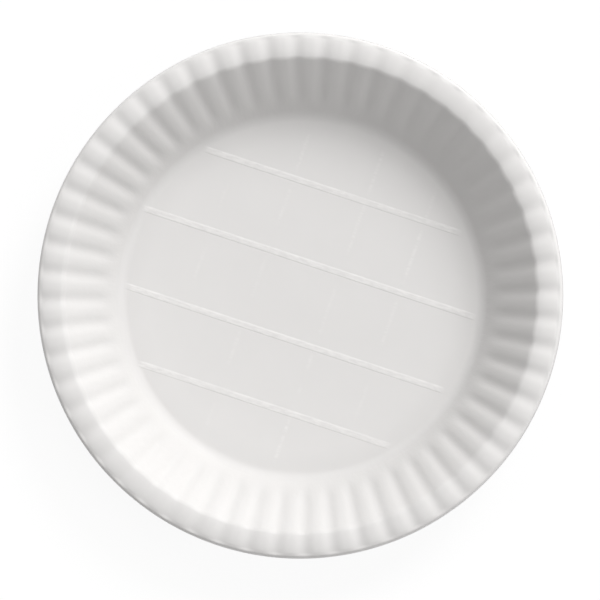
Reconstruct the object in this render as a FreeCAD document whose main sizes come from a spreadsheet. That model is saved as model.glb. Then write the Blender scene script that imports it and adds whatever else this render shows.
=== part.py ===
"""A round disposable plastic plate, pressed from one sheet of even thickness.

The frame has +Z up and +X along the ribs on the floor. Its origin is the centre of the
underside of the floor, the face that the plate stands on. Sizes are in millimetres and
degrees.

The plate is one solid. A section sketch gives the line of the sheet's upper face, cut
along the ridge of a flute: floor, floor bend, wall, rim bend, rim, crown, lip bend and
lip. That line goes round the axis while the wall and the rim wave out of it, which makes
the flutes, and the underside does the same one sheet thickness lower. The low ribs on
the floor are then added above and hollowed out below.
"""

import FreeCAD, Part
import math
import os

import Sketcher

Vector = FreeCAD.Vector

DIMENSIONS = {
    # the whole plate
    "plate_diameter": 230.0,
    "plate_height": 24.0,
    "sheet_thickness": 0.5,
    # the section; a corner is where the straight runs on either side of a bend would meet
    "wall_run": 24.0,
    "rim_width": 11.6,
    "rim_slope": 11.0,
    "crown_inset": 6.4,
    "lip_run": 0.5,
    "lip_drop": 3.0,
    "floor_bend": 6.5,
    "rim_bend": 4.0,
    "crown_bend": 20.0,
    "lip_bend": 2.5,
    # the flutes
    "flute_count": 56,
    "wall_flute_depth": 0.8,
    "rim_flute_depth": 0.7,
    "ridge_fullness": 0.22,
    "flute_rise_length": 14.0,
    "flute_fall_length": 4.0,
    # the ribs on the floor
    "rib_width": 3.0,
    "rib_height": 0.15,
    "rib_flank_run": 0.4,
    "rib_end_run": 3.0,
    "rib_hollow_inset": 0.2,
    "rib_end_gap": 0.5,
    "rib_1_offset": 48.2,
    "rib_2_offset": 15.1,
    "rib_3_offset": -19.7,
    "rib_4_offset": -50.3,
}
RIB_NUMBERS = (1, 2, 3, 4)

STATION_SPACING = 3.0       # along the straight runs of the section
STATION_TURN = 15.0         # along its bends
FLOOR_LAP = 0.3             # of flat floor that the fluted skin takes in
POLES_PER_FLUTE = 6         # round the plate
SEWING_TOLERANCE = 1e-4

# Sketcher's numbers for the points of a curve and for the axes.
START = 1
END = 2
CENTRE = 3
VERTICAL_AXIS = -2


def make_dimension_sheet(doc):
    """Give each driving dimension a named cell of its own."""
    sheet = doc.addObject("Spreadsheet::Sheet", "dimensions")
    for row, (name, value) in enumerate(DIMENSIONS.items(), start=1):
        sheet.set(f"A{row}", name)
        sheet.set(f"B{row}", str(value))
        sheet.setAlias(f"B{row}", name)
    doc.recompute()
    return sheet


def bind(sketch, name, expression, kind, *items):
    """Add a size to a sketch and tie it to the sheet."""
    value = sketch.evalExpression(expression)
    if kind == "Angle":
        value = math.radians(value)
    index = sketch.addConstraint(Sketcher.Constraint(kind, *items, value))
    sketch.renameConstraint(index, name)
    sketch.setExpression(f"Constraints.{name}", expression)


def corner_arc(before, corner, after, radius):
    """Return the arc that rounds a corner, with its first and last end along the path."""
    backward = (before - corner).normalize()
    forward = (after - corner).normalize()
    half_angle = backward.getAngle(forward) / 2
    centre = corner + (backward + forward).normalize() * (radius / math.sin(half_angle))
    reach = radius / math.tan(half_angle)
    angles = []
    for direction in (backward, forward):
        spoke = corner + direction * reach - centre
        angles.append(math.atan2(spoke.y, spoke.x))
    ends = (START, END)
    if backward.cross(forward).z > 0:
        angles.reverse()
        ends = (END, START)
    return Part.ArcOfCircle(Part.Circle(centre, Vector(0, 0, 1), radius), *angles), ends


def section_corners(sheet):
    """Return the corners that the section starts from before its sizes are tied."""
    edge_radius = sheet.plate_diameter / 2
    rim_radius = edge_radius - sheet.rim_width
    crown_radius = edge_radius - sheet.crown_inset
    lip_radius = edge_radius - sheet.lip_run
    slope = math.radians(sheet.rim_slope)
    peak = sheet.plate_height + sheet.crown_bend * (1 / math.cos(slope) - 1)
    rim_top = peak - (crown_radius - rim_radius) * math.tan(slope)
    lip_top = peak - (lip_radius - crown_radius) * math.tan(slope)
    return [
        Vector(0, sheet.sheet_thickness, 0),
        Vector(rim_radius - sheet.wall_run, sheet.sheet_thickness, 0),
        Vector(rim_radius, rim_top, 0),
        Vector(crown_radius, peak, 0),
        Vector(lip_radius, lip_top, 0),
        Vector(edge_radius, lip_top - sheet.lip_drop, 0),
    ]


def draw_section(doc, sheet):
    """Draw the sheet's upper face from the axis to the edge, cut along a flute's ridge."""
    sketch = doc.addObject("Sketcher::SketchObject", "section")
    sketch.Placement = FreeCAD.Placement(Vector(0, 0, 0), FreeCAD.Rotation(Vector(1, 0, 0), 90))
    corners = section_corners(sheet)
    bend_names = ("floor_bend", "rim_bend", "crown_bend", "lip_bend")

    arcs = []
    for index, name in enumerate(bend_names):
        arcs.append(corner_arc(*corners[index:index + 3], getattr(sheet, name)))
    runs = []
    run_start = corners[0]
    for arc, (first, last) in arcs:
        points = {START: arc.StartPoint, END: arc.EndPoint}
        runs.append(sketch.addGeometry(Part.LineSegment(run_start, points[first])))
        run_start = points[last]
    runs.append(sketch.addGeometry(Part.LineSegment(run_start, corners[-1])))
    bends = [sketch.addGeometry(arc) for arc, ends in arcs]
    for index, (arc, (first, last)) in enumerate(arcs):
        bend = bends[index]
        sketch.addConstraint(Sketcher.Constraint("Tangent", runs[index], END, bend, first))
        sketch.addConstraint(Sketcher.Constraint("Tangent", bend, last, runs[index + 1], START))
        bind(sketch, bend_names[index], f"dimensions.{bend_names[index]}", "Radius", bend)

    floor, wall, rim_inner, rim_outer, lip = runs
    crown = bends[2]
    floor_corner, rim_corner, crown_corner, lip_corner = (
        sketch.addGeometry(Part.Point(corner), True) for corner in corners[1:-1]
    )
    for corner, before, after in (
        (floor_corner, floor, wall),
        (rim_corner, wall, rim_inner),
        (crown_corner, rim_inner, rim_outer),
        (lip_corner, rim_outer, lip),
    ):
        sketch.addConstraint(Sketcher.Constraint("PointOnObject", corner, START, before))
        sketch.addConstraint(Sketcher.Constraint("PointOnObject", corner, START, after))

    sketch.addConstraint(Sketcher.Constraint("PointOnObject", floor, START, VERTICAL_AXIS))
    sketch.addConstraint(Sketcher.Constraint("Horizontal", floor))
    bind(sketch, "thickness", "dimensions.sheet_thickness", "DistanceY", floor, START)
    edge_radius = "dimensions.plate_diameter / 2"
    rim_radius = f"{edge_radius} - dimensions.rim_width"
    bind(sketch, "edge", edge_radius, "DistanceX", lip, END)
    bind(sketch, "lip_corner", f"{edge_radius} - dimensions.lip_run", "DistanceX", lip_corner, START)
    bind(sketch, "lip_drop", "dimensions.lip_drop", "DistanceY", lip, END, lip_corner, START)
    bind(sketch, "crown", f"{edge_radius} - dimensions.crown_inset", "DistanceX", crown, CENTRE)
    crown_centre = "dimensions.plate_height - dimensions.crown_bend"
    bind(sketch, "crown_centre", crown_centre, "DistanceY", crown, CENTRE)
    sketch.addConstraint(Sketcher.Constraint("Vertical", crown, CENTRE, crown_corner, START))
    bind(sketch, "inner_slope", "dimensions.rim_slope", "Angle", rim_inner)
    bind(sketch, "rim_corner", rim_radius, "DistanceX", rim_corner, START)
    bind(sketch, "floor_corner", f"{rim_radius} - dimensions.wall_run", "DistanceX", floor_corner, START)
    flat_radius = sketch.addConstraint(Sketcher.Constraint("DistanceX", floor, END, 0.0))
    sketch.renameConstraint(flat_radius, "flat_radius")
    sketch.setDriving(flat_radius, False)
    doc.recompute()
    return sketch


def section_stations(section):
    """Sample the section from a little inside the floor bend to the edge.

    Each station is its point, the sheet's normal there and its distance along the section
    from the start of the floor bend. The second result is where each run or bend ends.
    """
    floor, *edges = Part.sortEdges(section.Shape.Edges)[0]
    bend_start = floor.valueAt(floor.LastParameter)
    stations = []
    for lap in (FLOOR_LAP, FLOOR_LAP / 2, 0.0):
        stations.append((bend_start - Vector(lap, 0, 0), Vector(0, 0, 1), -lap))
    joints = [0.0]
    for edge in edges:
        if edge.Curve.TypeId == "Part::GeomCircle":
            steps = math.ceil(math.degrees(edge.Length / edge.Curve.Radius) / STATION_TURN)
        else:
            steps = math.ceil(edge.Length / STATION_SPACING)
        first, last = edge.ParameterRange
        sense = 1
        if edge.Orientation == "Reversed":
            first, last = last, first
            sense = -1
        for step in range(1, steps + 1):
            along = first + (last - first) * step / steps
            tangent = edge.tangentAt(along) * sense
            normal = Vector(-tangent.z, 0, tangent.x)
            stations.append((edge.valueAt(along), normal, joints[-1] + edge.Length * step / steps))
        joints.append(joints[-1] + edge.Length)
    return stations, joints


def smooth_step(share):
    """Rise from 0 to 1 with no slope at either end."""
    share = min(max(share, 0.0), 1.0)
    return share * share * (3 - 2 * share)


def flute_depth(distance, joints, sheet):
    """Return how deep a flute's valley lies below its ridge at a distance along the section."""
    floor_bend_end, wall_end, rim_bend_end = joints[1:4]
    lip_bend_end = joints[7]
    turned = smooth_step((distance - wall_end) / (rim_bend_end - wall_end))
    depth = sheet.wall_flute_depth + (sheet.rim_flute_depth - sheet.wall_flute_depth) * turned
    risen = smooth_step((distance - floor_bend_end) / sheet.flute_rise_length)
    fallen = smooth_step((lip_bend_end - distance) / sheet.flute_fall_length)
    return depth * risen * fallen


def spline_gain(step):
    """Return how far out a cubic spline's poles lie for a wave that turns by step between them."""
    return 3 / (2 + math.cos(step))


def ridge_level(phase, step, fullness):
    """Return a pole's level across a flute, from 1 on the ridge to 0 in the valley."""
    wave = spline_gain(step) * math.cos(phase)
    widening = 1 - spline_gain(2 * step) * math.cos(2 * phase)
    return (1 + wave + fullness * widening) / 2


def fluted_patch(stations, joints, sheet, drop):
    """Make one flute's patch of a skin that lies at a distance below the section.

    The patch is a cubic surface from one valley to the next. Along the section its poles
    come from a spline through the stations, and round the axis they turn in equal steps.
    The steps run on past both valleys as they do in the next flute, so patches meet
    smoothly.
    """
    distances = [distance for point, normal, distance in stations]
    phase_step = 2 * math.pi / POLES_PER_FLUTE
    angle_step = phase_step / round(sheet.flute_count)
    columns = []
    for index in range(-1, POLES_PER_FLUTE + 2):
        level = ridge_level(math.pi + index * phase_step, phase_step, sheet.ridge_fullness)
        points = []
        for point, normal, distance in stations:
            sunk = flute_depth(distance, joints, sheet) * (1 - level)
            points.append(point - normal * (sunk + drop))
        spline = Part.BSplineCurve()
        spline.interpolate(Points=points, Parameters=distances)
        angle = (index - POLES_PER_FLUTE / 2) * angle_step
        column = []
        for pole in spline.getPoles():
            radius = pole.x * spline_gain(angle_step)
            column.append(Vector(radius * math.cos(angle), radius * math.sin(angle), pole.z))
        columns.append(column)

    patch = Part.BSplineSurface()
    knots_round = list(range(-3, POLES_PER_FLUTE + 4))
    patch.buildFromPolesMultsKnots(
        columns,
        [1] * len(knots_round),
        spline.getMultiplicities(),
        knots_round,
        spline.getKnots(),
        False,
        False,
        3,
        3,
    )
    return patch


def make_fluted_sheet(doc, sheet, section):
    """Make the whole plate without its ribs.

    The flutes are soft waves that run on through the wall, the rim bend and the rim and
    die out at both ends, so no sketch, sweep or boolean holds their form. One flute's
    patches follow the section sketch and are repeated round the axis, and the two faces
    of the flat floor close them to one solid.
    """
    stations, joints = section_stations(section)
    inner_end = stations[0][-1]
    wall_end = joints[2]
    outer_end = joints[-1]
    one_flute = []
    inner_edges = []
    outer_edges = []
    for drop in (0.0, sheet.sheet_thickness):
        skin = fluted_patch(stations, joints, sheet, drop)
        for start, stop in ((inner_end, wall_end), (wall_end, outer_end)):
            patch = skin.copy()
            patch.segment(0, POLES_PER_FLUTE, start, stop)
            one_flute.append(patch.toShape())
            if start == inner_end:
                inner_edges.append(patch.vIso(start).toShape())
            else:
                outer_edges.append(patch.vIso(stop).toShape())
    one_flute.append(Part.makeRuledSurface(*outer_edges))

    def repeated(shape):
        flute_count = round(sheet.flute_count)
        copies = []
        for flute in range(flute_count):
            angle = (flute + 0.5) * 360 / flute_count
            copies.append(shape.rotated(Vector(0, 0, 0), Vector(0, 0, 1), angle))
        return copies

    faces = [Part.Face(Part.Wire(repeated(edge))) for edge in inner_edges]
    for face in one_flute:
        faces.extend(repeated(face))
    shell = Part.makeShell(faces)
    shell.sewShape(SEWING_TOLERANCE)
    solid = Part.makeSolid(shell)
    if solid.Volume < 0:
        solid.reverse()
    feature = doc.addObject("Part::Feature", "fluted_sheet")
    feature.Shape = solid
    return feature


def origin_plane(body, role):
    """Return one of a body's own origin planes."""
    return next(plane for plane in body.Origin.OriginFeatures if plane.Role == role)


def draw_rib_outline(body, name, number, level, inset, end_inset):
    """Draw a rib's outline, a long slot across the floor, at a level above the origin."""
    sketch = body.newObject("Sketcher::SketchObject", name)
    sketch.AttachmentSupport = (origin_plane(body, "XY_Plane"), "")
    sketch.MapMode = "FlatFace"
    sketch.setExpression("AttachmentOffset.Base.z", level)

    offset = f"dimensions.rib_{number}_offset"
    reach = "(section.Constraints.flat_radius / 1 mm - dimensions.rib_end_gap - dimensions.rib_width / 2)"
    half_width = f"(dimensions.rib_width / 2 - {inset})"
    half_length = f"(sqrt({reach} ^ 2 - {offset} ^ 2) - {end_inset})"
    radius = sketch.evalExpression(half_width)
    left = Vector(-sketch.evalExpression(half_length), sketch.evalExpression(offset), 0)
    right = Vector(-left.x, left.y, 0)
    across = Vector(0, radius, 0)
    top = sketch.addGeometry(Part.LineSegment(left + across, right + across))
    bottom = sketch.addGeometry(Part.LineSegment(left - across, right - across))
    ends = []
    for centre, start in ((left, math.pi / 2), (right, -math.pi / 2)):
        circle = Part.Circle(centre, Vector(0, 0, 1), radius)
        ends.append(sketch.addGeometry(Part.ArcOfCircle(circle, start, start + math.pi)))
    left_end, right_end = ends
    for first, first_end, second, second_end in (
        (top, START, left_end, START),
        (left_end, END, bottom, START),
        (bottom, END, right_end, START),
        (right_end, END, top, END),
    ):
        sketch.addConstraint(Sketcher.Constraint("Tangent", first, first_end, second, second_end))
    sketch.addConstraint(Sketcher.Constraint("Equal", left_end, right_end))
    bind(sketch, "half_width", half_width, "Radius", left_end)
    for side, end, place in (("left", left_end, f"-{half_length}"), ("right", right_end, half_length)):
        bind(sketch, f"{side}_offset", offset, "DistanceY", end, CENTRE)
        bind(sketch, f"{side}_centre", place, "DistanceX", end, CENTRE)
    return sketch


def add_rib(body, number):
    """Raise one rib on the floor and hollow it out from below by the same height."""
    for kind, loft_type, level, inset in (
        ("ridge", "PartDesign::AdditiveLoft", "dimensions.sheet_thickness", "0"),
        ("hollow", "PartDesign::SubtractiveLoft", "0", "dimensions.rib_hollow_inset"),
    ):
        name = f"rib_{number}_{kind}"
        foot = draw_rib_outline(body, f"{name}_foot", number, level, inset, inset)
        crest = draw_rib_outline(
            body,
            f"{name}_crest",
            number,
            f"{level} + dimensions.rib_height",
            f"({inset} + dimensions.rib_flank_run)",
            f"({inset} + dimensions.rib_end_run)",
        )
        loft = body.newObject(loft_type, name)
        loft.Profile = foot
        loft.Sections = [crest]
        loft.Ruled = True
        loft.Refine = False


def check_document(doc, body):
    """Stop if anything in the document failed or the plate isn't one sound solid."""
    for item in doc.Objects:
        if "Invalid" in item.State or "Error" in item.State:
            raise RuntimeError(f"{item.Name} failed: {item.State}")
    if body.Shape.isNull() or not body.Shape.isValid():
        raise RuntimeError("the plate's shape isn't valid")
    if len(body.Shape.Solids) != 1:
        raise RuntimeError("the plate isn't one solid")


def main():
    doc = FreeCAD.newDocument("plastic_plate")
    sheet = make_dimension_sheet(doc)
    section = draw_section(doc, sheet)
    body = doc.addObject("PartDesign::Body", "plate")
    body.Label = "plate"
    body.BaseFeature = make_fluted_sheet(doc, sheet, section)
    doc.recompute()
    for number in RIB_NUMBERS:
        add_rib(body, number)
        doc.recompute()
    check_document(doc, body)
    os.makedirs("parts", exist_ok=True)
    body.Shape.exportStep(f"parts/{body.Label}.step")


main()
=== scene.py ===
"""A round disposable plastic plate: its finish, its light and its camera.

The plate is one sheet of white plastic. A line of corners is rounded and spun into the
wall and the rim, which are waved into flutes. The flat floor is filled in and cut along
its ribs and its creases, which are raised a little and whitened. The sheet then gets its
thickness.
"""

import math

import bmesh
import bpy
from mathutils import Matrix, Vector


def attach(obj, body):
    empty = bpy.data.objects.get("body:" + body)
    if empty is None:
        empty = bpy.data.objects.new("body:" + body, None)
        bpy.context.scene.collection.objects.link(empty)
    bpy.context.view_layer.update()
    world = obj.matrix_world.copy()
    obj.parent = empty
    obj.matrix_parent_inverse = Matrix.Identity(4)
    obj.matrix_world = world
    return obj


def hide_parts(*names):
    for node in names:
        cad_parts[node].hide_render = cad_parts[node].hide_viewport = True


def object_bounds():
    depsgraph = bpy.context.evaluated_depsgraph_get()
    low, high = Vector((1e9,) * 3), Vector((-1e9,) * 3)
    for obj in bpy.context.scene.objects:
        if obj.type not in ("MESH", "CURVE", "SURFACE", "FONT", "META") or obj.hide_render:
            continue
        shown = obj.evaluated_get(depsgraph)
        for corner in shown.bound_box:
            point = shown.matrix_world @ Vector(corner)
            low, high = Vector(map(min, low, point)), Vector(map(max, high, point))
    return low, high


MM = 0.001
# points this near each other, in metres, are one point
SAME_POINT = 1e-7

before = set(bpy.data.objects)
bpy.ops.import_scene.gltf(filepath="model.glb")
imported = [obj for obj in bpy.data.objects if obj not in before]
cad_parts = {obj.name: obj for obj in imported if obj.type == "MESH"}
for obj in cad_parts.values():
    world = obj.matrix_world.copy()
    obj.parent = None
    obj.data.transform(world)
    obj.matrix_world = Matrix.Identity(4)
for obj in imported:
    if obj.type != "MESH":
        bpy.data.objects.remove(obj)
cad_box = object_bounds()

# the plate, in millimetres and degrees: its radius and height are the frame's, and the
# two clearances keep its edge and its underside inside the frame's box
EDGE_CLEAR = 0.01
FLOOR_CLEAR = 0.001
PLATE_RADIUS = round(cad_box[1][0] / MM, 1) - EDGE_CLEAR
PLATE_HEIGHT = round(cad_box[1][2] / MM, 1)
SHEET = 0.5
# its section, from the middle outwards: where its corners lie, how its rim slopes, and the
# radius of each bend
FLAT_FLOOR = 76.5
FLOOR_CORNER = 79.7
RIM_CORNER = 103.4
CROWN = 108.6
SHOULDER = 112.5
LIP_CORNER = 114.5
RIM_SLOPE = 11.0
EDGE_SLOPE = 17.0
LIP_DROP = 3.0
FLOOR_BEND = 6.5
RIM_BEND = 4.0
CROWN_BEND = 20.0
SHOULDER_BEND = 6.0
LIP_BEND = 1.6
# steps round each bend, from the floor's to the lip's, and cuts up the wall
BEND_STEPS = (8, 6, 10, 3, 6)
WALL_CUTS = 13

# the flutes: their depth, how narrow their valleys are, and the distances from the middle
# over which they rise from the floor, turn onto the rim and fall away at the edge
FLUTES = 56
STEPS_PER_FLUTE = 12
WALL_FLUTE = 0.78
RIM_FLUTE = 0.68
WALL_SHARPNESS = 1.4
RIM_SHARPNESS = 1.5
FLUTE_RISE = (82.1, 89.8)
RIM_TURN = (102.0, 105.0)
FLUTE_FALL = (112.4, 115.0)

# each rib: its line across the floor, and where it starts and stops along it
RIBS = (
    (48.2, -62.0, 58.5),
    (15.1, -79.8, 75.8),
    (-19.7, -76.0, 72.6),
    (-50.3, -60.6, 58.0),
)
# a rib has a soft flank on its +Y side and a sharp one on the other
RIB_WIDTH = 3.0
RIB_HEIGHT = 0.102
RIB_UPPER_FLANK = 0.95
RIB_LOWER_FLANK = 0.3
RIB_WHITENING = 0.43
WHITENED_EDGE = 0.3
RIB_FADE = 3.5
# ribs run out on the floor's bend, and nothing of them lies beyond this radius
RIB_ZONE = 82.0

# faint creases across the ribs, leaning a little off square: where each crosses the
# middle, and its stretches, each with its start, its stop and its strength
CREASE_WIDTH = 2.6
CREASE_HEIGHT = 0.016
CREASE_FADE = 4.0
CREASE_EDGE_FADE = 1.0
CREASE_DRIFT = 0.0186
CREASE_WHITENING = 0.34
CREASES = (
    (-47.4, ((23, 38, 0.35), (-10, 10, 0.5))),
    (-20.8, ((50, 70, 0.85), (25, 46, 0.7), (-10, 13, 0.4), (-40, -21, 0.65), (-69, -55, 0.5))),
    (12.5, ((50, 73, 0.8), (23, 48, 0.9), (-15, 10, 0.6), (-31, -22, 1.4), (-43, -36, 0.6),
            (-73, -51, 1.2))),
    (39.9, ((46, 63, 0.7), (18, 45, 1.0), (-11, 13, 0.7), (-46, -26, 0.4))),
)

# the cuts that shape a rib or a crease: beside each edge, across each flank, just inside
# a flat top, across a rib's ends, and across a crease
GUARDS = (-1.0, -0.3, -0.05)
FLANK_STEPS = 5
TOP_GUARD = 0.05
END_STEPS = 6
CREASE_CUTS = 36
CREASE_CUT_GAP = 2.0
# how far beside a rib or a crease a face may lie and still be cut
BESIDE = 0.5
# points nearer than this are merged, so that no sliver is left between two cuts
SLIVER = 0.01

# the camera: its turn from the line of the ribs and its lean off straight down in
# degrees, its lens, the width that it sees and the point that it aims at in millimetres,
# and the nearest and the farthest that it sees in metres
VIEW_ROLL = 18.3
LEAN_RIGHT = 2.7
LEAN_DOWN = 1.3
LENS = 600.0
SENSOR = 36.0
FRAME_WIDTH = 262.0
AIM_RIGHT = 0.08
AIM_DOWN = 2.05
AIM_HEIGHT = 22.0
NEAREST_SEEN = 0.1
FARTHEST_SEEN = 50.0
# each lamp: its turn from the line of the ribs, its height and its width, all in degrees,
# and its strength
LAMPS = {
    "window": (73.3, 30.5, 26.0, 1.96),
    "side_window": (358.3, 35.0, 40.0, 0.64),
    "far_window": (123.3, 35.0, 40.0, 0.60),
}
SKY_STRENGTH = 0.325
# the studio floor, in metres: its half width and its gap under the plate
FLOOR_HALF = 3.0
FLOOR_GAP = 0.0002
FLOOR_BOUNCE = (0.75, 0.75, 0.75, 1)
FLOOR_SHADE = (0.12, 0.12, 0.12, 1)
FLOOR_GLOW = 0.91

# the plastic
PLASTIC_THICK = (0.845, 0.830, 0.818, 1)
# the thin colour darkens the wall: partly the sheet drawn thin, partly painted shade
PLASTIC_THIN_AND_SHADED = (0.722, 0.709, 0.698, 1)
PLASTIC_WHITENED = (0.913, 0.898, 0.884, 1)
SPECULAR = 0.3
# how thin the sheet is drawn, with its painted shade, at these distances from the middle, from 0
# to 1
DRAWN_AND_SHADE_STOPS = (
    (66.0, 0.0),
    (77.0, 0.24),
    (82.5, 0.95),
    (102.0, 0.6),
    (105.0, 0.12),
    (108.0, 0.0),
)
# how much of its thin and shaded colour comes from the drawing and its painted shade, and how much
# from slow clouds
DRAWN_AND_SHADE_TINT = 0.9
CLOUD_TINT = 0.1
CLOUD_FINENESS = 38.0
CLOUD_RANGE = (0.3, 0.7)
# its roughness between those clouds, and what the grain adds
GLOSS = (0.44, 0.54)
GRAIN_GLOSS = 0.05
# patches in the whitening, drawn out along the ribs
PATCH_FINENESS = 1100.0
PATCH_RUN = (0.25, 1, 1)
PATCH_RANGE = (0.35, 0.65)
PATCH_STRENGTH = 2.1
# its relief, as a fineness and a height in metres: slow unevenness, the streaks that the
# drawing leaves down the wall, and a fine grain
UNEVEN_FINENESS = 55.0
UNEVEN_HEIGHT = 0.00009
STREAK_FINENESS = 34.0
STREAK_RUN = 9.0
STREAK_HEIGHT = 0.00010
GRAIN_FINENESS = 1500.0
GRAIN_HEIGHT = 0.000004


def smooth_step(value, start, stop):
    """Rise from 0 at start to 1 at stop with no slope at either end."""
    share = min(max((value - start) / (stop - start), 0.0), 1.0)
    return share * share * (3 - 2 * share)


def section_points():
    """Return the corners of the sheet's upper face, from the flat floor to the edge."""
    slope = math.radians(RIM_SLOPE)
    # the crown's corner stands above the height that its bend leaves
    peak = PLATE_HEIGHT + CROWN_BEND * (1 / math.cos(slope) - 1)
    rim_top = peak - (CROWN - RIM_CORNER) * math.tan(slope)
    shoulder_top = peak - (SHOULDER - CROWN) * math.tan(slope)
    lip_top = shoulder_top - (LIP_CORNER - SHOULDER) * math.tan(math.radians(EDGE_SLOPE))
    return [
        Vector((FLAT_FLOOR, 0, SHEET)),
        Vector((FLOOR_CORNER, 0, SHEET)),
        Vector((RIM_CORNER, 0, rim_top)),
        Vector((CROWN, 0, peak)),
        Vector((SHOULDER, 0, shoulder_top)),
        Vector((LIP_CORNER, 0, lip_top)),
        Vector((PLATE_RADIUS, 0, lip_top - LIP_DROP)),
    ]


def round_corner(bm, vert, radius, steps):
    """Round one corner of the section to this radius."""
    before, after = (edge.other_vert(vert).co - vert.co for edge in vert.link_edges)
    reach = radius / math.tan(before.angle(after) / 2)
    bmesh.ops.bevel(
        bm, geom=[vert], offset=reach, offset_type="OFFSET", segments=steps,
        profile=0.5, affect="VERTICES", material=-1,
    )


def face_up(bm):
    """Turn every face of the open sheet towards its upper side."""
    bmesh.ops.recalc_face_normals(bm, faces=bm.faces[:])
    if sum(face.normal.z * face.calc_area() for face in bm.faces) < 0:
        bmesh.ops.reverse_faces(bm, faces=bm.faces[:])
    bm.normal_update()


def section_line():
    """Return the section's points from the middle outwards, with its corners rounded."""
    bm = bmesh.new()
    verts = [bm.verts.new(point * MM) for point in section_points()]
    for pair in zip(verts, verts[1:]):
        bm.edges.new(pair)
    radii = (FLOOR_BEND, RIM_BEND, CROWN_BEND, SHOULDER_BEND, LIP_BEND)
    for vert, radius, steps in zip(verts[1:-1], radii, BEND_STEPS):
        round_corner(bm, vert, radius * MM, steps)
    # the longest straight run is the wall
    wall = max(bm.edges, key=lambda edge: edge.calc_length())
    bmesh.ops.subdivide_edges(bm, edges=[wall], cuts=WALL_CUTS)
    line = sorted((vert.co.copy() for vert in bm.verts), key=lambda point: point.x)
    bm.free()
    return line


def spin_bowl(bm):
    """Turn the section round the axis, ring by ring.

    bmesh.ops.spin orders its faces differently each run, and the cuts then differ a little.
    """
    line = section_line()
    steps = FLUTES * STEPS_PER_FLUTE
    rings = []
    for step in range(steps):
        turn = Matrix.Rotation(math.tau * step / steps, 3, "Z")
        rings.append([bm.verts.new(turn @ point) for point in line])
    for ring, after in zip(rings, rings[1:] + rings[:1]):
        for corners in zip(ring, ring[1:], after[1:], after):
            bm.faces.new(corners)
    bm.normal_update()


def blend(first, second, share):
    return first + (second - first) * share


def flute_depth(radius, angle):
    """Return how far the sheet dips at a point, from nothing on a ridge to full in a valley."""
    rim_share = smooth_step(radius, *RIM_TURN)
    depth = blend(WALL_FLUTE * radius / RIM_CORNER, RIM_FLUTE, rim_share)
    sharpness = blend(WALL_SHARPNESS, RIM_SHARPNESS, rim_share)
    run = smooth_step(radius, *FLUTE_RISE) * (1 - smooth_step(radius, *FLUTE_FALL))
    return depth * run * ((1 + math.cos(FLUTES * angle)) / 2) ** sharpness


def wave_flutes(bm):
    """Dip the wall and the rim between the flutes' ridges."""
    moves = []
    for vert in bm.verts:
        radius = vert.co.xy.length / MM
        angle = math.atan2(vert.co.y, vert.co.x)
        moves.append((vert, vert.normal * flute_depth(radius, angle) * MM))
    for vert, move in moves:
        vert.co -= move


def cut_faces(bm, faces, point, normal):
    """Cut these faces along a plane, and return them with the new ones."""
    edges = {edge for face in faces for edge in face.edges}
    verts = {vert for face in faces for vert in face.verts}
    cut = bmesh.ops.bisect_plane(
        bm, geom=[*verts, *edges, *faces], dist=SAME_POINT,
        plane_co=Vector(point) * MM, plane_no=normal,
    )
    return [part for part in cut["geom"] if isinstance(part, bmesh.types.BMFace)]


def band(width, upper_flank, lower_flank):
    """Return the cuts along a low shape: its two flanks, and guard lines beside each."""
    cuts = []
    for side, flank in ((-1, lower_flank), (1, upper_flank)):
        runs = [*GUARDS, *(flank * step / FLANK_STEPS for step in range(FLANK_STEPS + 1))]
        if width - upper_flank - lower_flank > 2 * TOP_GUARD:
            runs.append(flank + TOP_GUARD)
        cuts += [side * (width / 2 - run) for run in runs]
    return sorted(cuts)


def faces_by_rib(bm, offset, inner, outer):
    """Return the faces beside a rib's line, between these distances from the middle."""
    near = []
    for face in bm.faces:
        middle = face.calc_center_median() / MM
        beside = abs(middle.y - offset) < RIB_WIDTH / 2 + BESIDE
        if beside and inner < middle.xy.length < outer:
            near.append(face)
    return near


def faces_by_crease(bm, offset):
    """Return the faces of the flat floor beside a crease's line."""
    near = []
    for face in bm.faces:
        middle = face.calc_center_median() / MM
        side = abs(middle.x - offset - CREASE_DRIFT * middle.y)
        if side < CREASE_WIDTH / 2 + BESIDE and middle.xy.length < FLAT_FLOOR:
            near.append(face)
    return near


def cut_along(bm, faces, offset, cuts):
    """Cut these faces along a rib, whose line has this offset."""
    for value in cuts:
        faces = cut_faces(bm, faces, (0, offset + value, 0), (0, 1, 0))
    return faces


def fill_floor(bm):
    """Fill the flat floor and cut it where its ribs and its creases run."""
    inner = [edge for edge in bm.edges
             if edge.is_boundary and edge.verts[0].co.xy.length < FLOOR_CORNER * MM]
    faces = bmesh.ops.edgeloop_fill(bm, edges=inner)["faces"]
    rib_cuts = band(RIB_WIDTH, RIB_UPPER_FLANK, RIB_LOWER_FLANK)
    crease_cuts = band(CREASE_WIDTH, CREASE_WIDTH / 2, CREASE_WIDTH / 2)
    for offset, _, _ in RIBS:
        faces = cut_along(bm, faces, offset, rib_cuts)
    for offset, _ in CREASES:
        for value in crease_cuts:
            faces = cut_faces(bm, faces, (offset + value, 0, 0), (1, -CREASE_DRIFT, 0))
    # the ribs' ends, which run onto the floor's bend
    for offset, start, stop in RIBS:
        cut_along(bm, faces_by_rib(bm, offset, FLAT_FLOOR, RIB_ZONE), offset, rib_cuts)
        near = faces_by_rib(bm, offset, 0, RIB_ZONE)
        for step in range(END_STEPS + 1):
            inset = RIB_FADE * step / END_STEPS
            for x in (start + inset, stop - inset):
                near = cut_faces(bm, near, (x, 0, 0), (1, 0, 0))
    for offset, _ in CREASES:
        near = faces_by_crease(bm, offset)
        for step in range(-CREASE_CUTS, CREASE_CUTS + 1):
            near = cut_faces(bm, near, (0, CREASE_CUT_GAP * step, 0), (0, 1, 0))
    bmesh.ops.remove_doubles(bm, verts=bm.verts[:], dist=SLIVER * MM)


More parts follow.
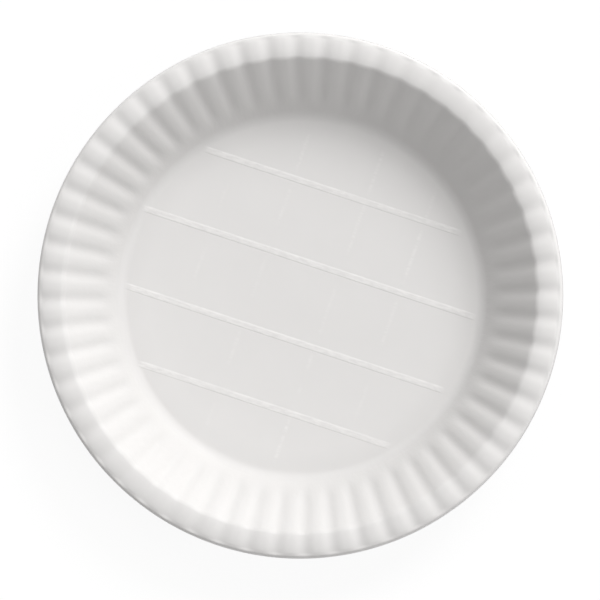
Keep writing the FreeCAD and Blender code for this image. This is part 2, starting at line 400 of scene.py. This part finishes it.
def rib_share(x, y, upper_run, lower_run):
    """Return how far a point is onto a rib, from 0 at its edges to 1 past these runs."""
    share = 0.0
    for offset, start, stop in RIBS:
        from_top = offset + RIB_WIDTH / 2 - y
        if 0 < from_top < RIB_WIDTH:
            across = smooth_step(from_top, 0.0, upper_run)
            across *= smooth_step(RIB_WIDTH - from_top, 0.0, lower_run)
            share = across * smooth_step(min(x - start, stop - x), 0.0, RIB_FADE)
    return share


def crease_share(x, y):
    """Return how strong a crease is at a point."""
    share = 0.0
    for offset, stretches in CREASES:
        side = abs(x - offset - CREASE_DRIFT * y)
        if side < CREASE_WIDTH / 2:
            across = smooth_step(CREASE_WIDTH / 2 - side, 0.0, CREASE_WIDTH / 2)
            for start, stop, strength in stretches:
                inside = min(y - start, stop - y)
                share = max(share, across * strength * smooth_step(inside, 0.0, CREASE_FADE))
    return share


def shape_floor(bm):
    """Raise the ribs and the creases, and mark how much the plastic is whitened there."""
    whitened = bm.verts.layers.float.new("whitened")
    bm.normal_update()
    for vert in bm.verts:
        x, y, _ = vert.co / MM
        radius = math.hypot(x, y)
        if radius < RIB_ZONE:
            crease = crease_share(x, y) * smooth_step(FLAT_FLOOR - radius, 0.0, CREASE_EDGE_FADE)
            rib = rib_share(x, y, RIB_UPPER_FLANK, RIB_LOWER_FLANK)
            rib_white = RIB_WHITENING * rib_share(x, y, WHITENED_EDGE, WHITENED_EDGE)
            vert[whitened] = max(CREASE_WHITENING * crease, rib_white)
            vert.co += vert.normal * max(RIB_HEIGHT * rib, CREASE_HEIGHT * crease) * MM


def make_plate():
    """Make the plate as one open sheet, and give it its thickness."""
    bm = bmesh.new()
    spin_bowl(bm)
    wave_flutes(bm)
    fill_floor(bm)
    face_up(bm)
    shape_floor(bm)
    for face in bm.faces:
        face.smooth = True
    mesh = bpy.data.meshes.new("pressed_plate")
    bm.to_mesh(mesh)
    bm.free()
    plate = bpy.data.objects.new("pressed_plate", mesh)
    bpy.context.scene.collection.objects.link(plate)
    sheet = plate.modifiers.new("sheet", "SOLIDIFY")
    sheet.thickness = (SHEET - FLOOR_CLEAR) * MM
    sheet.offset = -1
    sheet.use_even_offset = True
    return plate


def add_node(tree, kind, inputs=(), **settings):
    """Add a node, give it its settings, and join or set its inputs by name or number."""
    node = tree.nodes.new(kind)
    for name, value in settings.items():
        setattr(node, name, value)
    for name, value in dict(inputs).items():
        if isinstance(value, bpy.types.NodeSocket):
            tree.links.new(value, node.inputs[name])
        else:
            node.inputs[name].default_value = value
    return node


def add_math(tree, operation, *values):
    return add_node(tree, "ShaderNodeMath", enumerate(values), operation=operation).outputs[0]


def add_noise(tree, vector, scale, detail, roughness=0.5):
    inputs = {"Vector": vector, "Scale": scale, "Detail": detail, "Roughness": roughness}
    return add_node(tree, "ShaderNodeTexNoise", inputs).outputs["Fac"]


def add_range(tree, value, start, stop, low, high):
    inputs = {"Value": value, "From Min": start, "From Max": stop, "To Min": low, "To Max": high}
    return add_node(tree, "ShaderNodeMapRange", inputs).outputs["Result"]


def add_drawn_and_shade_share(tree, radius):
    """Return how thin the sheet is drawn and how much painted shade it takes: most at the foot of
    the wall, least on the rim.
    """
    first, last = DRAWN_AND_SHADE_STOPS[0][0], DRAWN_AND_SHADE_STOPS[-1][0]
    along = add_range(tree, radius, first * MM, last * MM, 0.0, 1.0)
    ramp = add_node(tree, "ShaderNodeValToRGB", {"Fac": along})
    ramp.color_ramp.interpolation = "EASE"
    stops = ramp.color_ramp.elements
    stops.remove(stops[1])
    for index, (stop, share) in enumerate(DRAWN_AND_SHADE_STOPS):
        place = (stop - first) / (last - first)
        element = stops.new(place) if index else stops[0]
        element.position = place
        element.color = (share, share, share, 1)
    return ramp.outputs["Color"]


def add_streaks(tree, flat, radius):
    """Return streaks that run straight out from the middle."""
    spoke = add_node(tree, "ShaderNodeVectorMath", {0: flat}, operation="NORMALIZE").outputs[0]
    shift = add_math(tree, "MULTIPLY", radius, STREAK_RUN)
    run = add_node(tree, "ShaderNodeCombineXYZ", {"Z": shift})
    place = add_node(tree, "ShaderNodeVectorMath", {0: spoke, 1: run.outputs[0]}, operation="ADD")
    return add_noise(tree, place.outputs[0], STREAK_FINENESS, detail=3.0, roughness=0.6)


def add_whitening(tree, place):
    """Return how much the plastic is whitened: along the ribs and creases, in patches."""
    share = add_node(tree, "ShaderNodeAttribute", attribute_name="whitened").outputs["Fac"]
    along_ribs = add_node(tree, "ShaderNodeMapping", {"Vector": place, "Scale": PATCH_RUN})
    patches = add_noise(tree, along_ribs.outputs[0], PATCH_FINENESS, detail=2.0)
    strength = add_range(tree, patches, *PATCH_RANGE, 0.0, PATCH_STRENGTH)
    return add_math(tree, "MULTIPLY", share, strength)


def mix_colours(tree, share, first, second):
    inputs = {"Factor": share, "A": first, "B": second}
    return add_node(tree, "ShaderNodeMix", inputs, data_type="RGBA").outputs["Result"]


def make_plastic():
    """Make the plate's plastic: satin, a little uneven, thinner where the wall was drawn, with
    painted shade darkest at the wall's foot.
    """
    material = bpy.data.materials.new("white_plastic")
    material.use_nodes = True
    tree = material.node_tree
    shader = tree.nodes["Principled BSDF"]
    shader.inputs["Specular IOR Level"].default_value = SPECULAR

    place = add_node(tree, "ShaderNodeTexCoord").outputs["Object"]
    flat = add_node(tree, "ShaderNodeVectorMath", {0: place, 1: (1, 1, 0)}, operation="MULTIPLY")
    flat = flat.outputs[0]
    radius = add_node(tree, "ShaderNodeVectorMath", {0: flat}, operation="LENGTH")
    radius = radius.outputs["Value"]
    drawn = add_drawn_and_shade_share(tree, radius)
    cloud = add_noise(tree, place, CLOUD_FINENESS, detail=3.0)
    grain = add_noise(tree, place, GRAIN_FINENESS, detail=2.0, roughness=0.6)

    # painted shade along the wall, darkest at its foot, with the thinner sheet and random clouds
    thinness_and_shade = add_math(tree, "ADD", add_math(tree, "MULTIPLY", drawn, DRAWN_AND_SHADE_TINT),
                        add_range(tree, cloud, *CLOUD_RANGE, 0.0, CLOUD_TINT))
    colour = mix_colours(tree, thinness_and_shade, PLASTIC_THICK, PLASTIC_THIN_AND_SHADED)
    colour = mix_colours(tree, add_whitening(tree, place), colour, PLASTIC_WHITENED)
    tree.links.new(colour, shader.inputs["Base Color"])

    gloss = add_math(tree, "ADD", add_range(tree, cloud, *CLOUD_RANGE, *GLOSS),
                     add_math(tree, "MULTIPLY", grain, GRAIN_GLOSS))
    tree.links.new(gloss, shader.inputs["Roughness"])

    slow = add_noise(tree, place, UNEVEN_FINENESS, detail=2.0)
    streaks = add_math(tree, "MULTIPLY", add_streaks(tree, flat, radius), drawn)
    height = add_math(tree, "MULTIPLY", slow, UNEVEN_HEIGHT)
    for pattern, rise in ((streaks, STREAK_HEIGHT), (grain, GRAIN_HEIGHT)):
        height = add_math(tree, "ADD", height, add_math(tree, "MULTIPLY", pattern, rise))
    bump = add_node(tree, "ShaderNodeBump", {"Height": height, "Distance": 1.0, "Strength": 1.0})
    tree.links.new(bump.outputs["Normal"], shader.inputs["Normal"])
    return material


def seen_white(tree, plain, white):
    """Show white to the camera and to reflections, and plain to every other ray."""
    rays = add_node(tree, "ShaderNodeLightPath").outputs
    seen = add_math(tree, "MAXIMUM", rays["Is Camera Ray"], rays["Is Glossy Ray"])
    seen = add_math(tree, "MAXIMUM", seen, rays["Is Transmission Ray"])
    mix = add_node(tree, "ShaderNodeMixShader", {0: seen, 1: plain, 2: white})
    return mix.outputs[0]


def make_floor_finish():
    """Make a white that keeps a faint shadow and is clear from below."""
    material = bpy.data.materials.new("studio_floor")
    material.use_nodes = True
    tree = material.node_tree
    tree.nodes.clear()
    output = add_node(tree, "ShaderNodeOutputMaterial")
    bounce = add_node(tree, "ShaderNodeBsdfDiffuse", {"Color": FLOOR_BOUNCE})
    shade = add_node(tree, "ShaderNodeBsdfDiffuse", {"Color": FLOOR_SHADE})
    glow = add_node(tree, "ShaderNodeEmission", {"Strength": FLOOR_GLOW})
    both = add_node(tree, "ShaderNodeAddShader", {0: shade.outputs[0], 1: glow.outputs[0]})
    top = seen_white(tree, bounce.outputs[0], both.outputs[0])
    below = add_node(tree, "ShaderNodeNewGeometry").outputs["Backfacing"]
    clear = add_node(tree, "ShaderNodeBsdfTransparent")
    mix = add_node(tree, "ShaderNodeMixShader", {0: below, 1: top, 2: clear.outputs[0]})
    tree.links.new(mix.outputs[0], output.inputs["Surface"])
    return material


def make_floor():
    """Lay a wide floor just under the plate."""
    bm = bmesh.new()
    bmesh.ops.create_grid(bm, x_segments=1, y_segments=1, size=FLOOR_HALF)
    bmesh.ops.translate(bm, verts=bm.verts, vec=(0, 0, -FLOOR_GAP))
    mesh = bpy.data.meshes.new("studio_floor")
    bm.to_mesh(mesh)
    bm.free()
    floor = bpy.data.objects.new("studio_floor", mesh)
    bpy.context.scene.collection.objects.link(floor)
    mesh.materials.append(make_floor_finish())


def make_world():
    """Make an even pale sky, seen as a white backdrop."""
    world = bpy.data.worlds.new("studio")
    bpy.context.scene.world = world
    world.use_nodes = True
    tree = world.node_tree
    tree.nodes.clear()
    output = add_node(tree, "ShaderNodeOutputWorld")
    sky = add_node(tree, "ShaderNodeBackground", {"Color": (1, 1, 1, 1), "Strength": SKY_STRENGTH})
    backdrop = add_node(tree, "ShaderNodeBackground", {"Color": (1, 1, 1, 1), "Strength": 1.0})
    both = seen_white(tree, sky.outputs[0], backdrop.outputs[0])
    tree.links.new(both, output.inputs["Surface"])


def around(turn, height):
    """Return the direction that is turned round the plate and raised by these degrees."""
    turn, height = math.radians(turn), math.radians(height)
    level = math.cos(height)
    return Vector((math.cos(turn) * level, math.sin(turn) * level, math.sin(height)))


def make_lamps():
    """Hang the three soft lamps round the plate."""
    for name, (turn, height, angle, strength) in LAMPS.items():
        lamp = bpy.data.lights.new(name, "SUN")
        lamp.energy = strength
        lamp.angle = math.radians(angle)
        light = bpy.data.objects.new(name, lamp)
        bpy.context.scene.collection.objects.link(light)
        light.rotation_mode = "QUATERNION"
        light.rotation_quaternion = around(turn, height).to_track_quat("Z", "Y")


def make_camera():
    """Set a long lens almost straight above the plate."""
    data = bpy.data.cameras.new("camera")
    data.sensor_width = SENSOR
    data.lens = LENS
    camera = bpy.data.objects.new("camera", data)
    bpy.context.scene.collection.objects.link(camera)
    right = around(VIEW_ROLL, 0)
    up = around(VIEW_ROLL + 90, 0)
    lean = right * math.tan(math.radians(LEAN_RIGHT)) - up * math.tan(math.radians(LEAN_DOWN))
    back = (lean + Vector((0, 0, 1))).normalized()
    across = up.cross(back).normalized()
    upward = back.cross(across)
    distance = FRAME_WIDTH * MM * LENS / SENSOR
    centre = (Vector((0, 0, AIM_HEIGHT)) + right * AIM_RIGHT - up * AIM_DOWN) * MM
    turn = Matrix((across, upward, back)).transposed()
    camera.matrix_world = Matrix.Translation(centre + back * distance) @ turn.to_4x4()
    data.clip_start = NEAREST_SEEN
    data.clip_end = FARTHEST_SEEN
    bpy.context.scene.camera = camera


plate = make_plate()
plate.data.materials.append(make_plastic())
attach(plate, "root")
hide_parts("plate")
make_floor()
make_world()
make_lamps()
make_camera()

bpy.context.scene.view_settings.view_transform = "Standard"
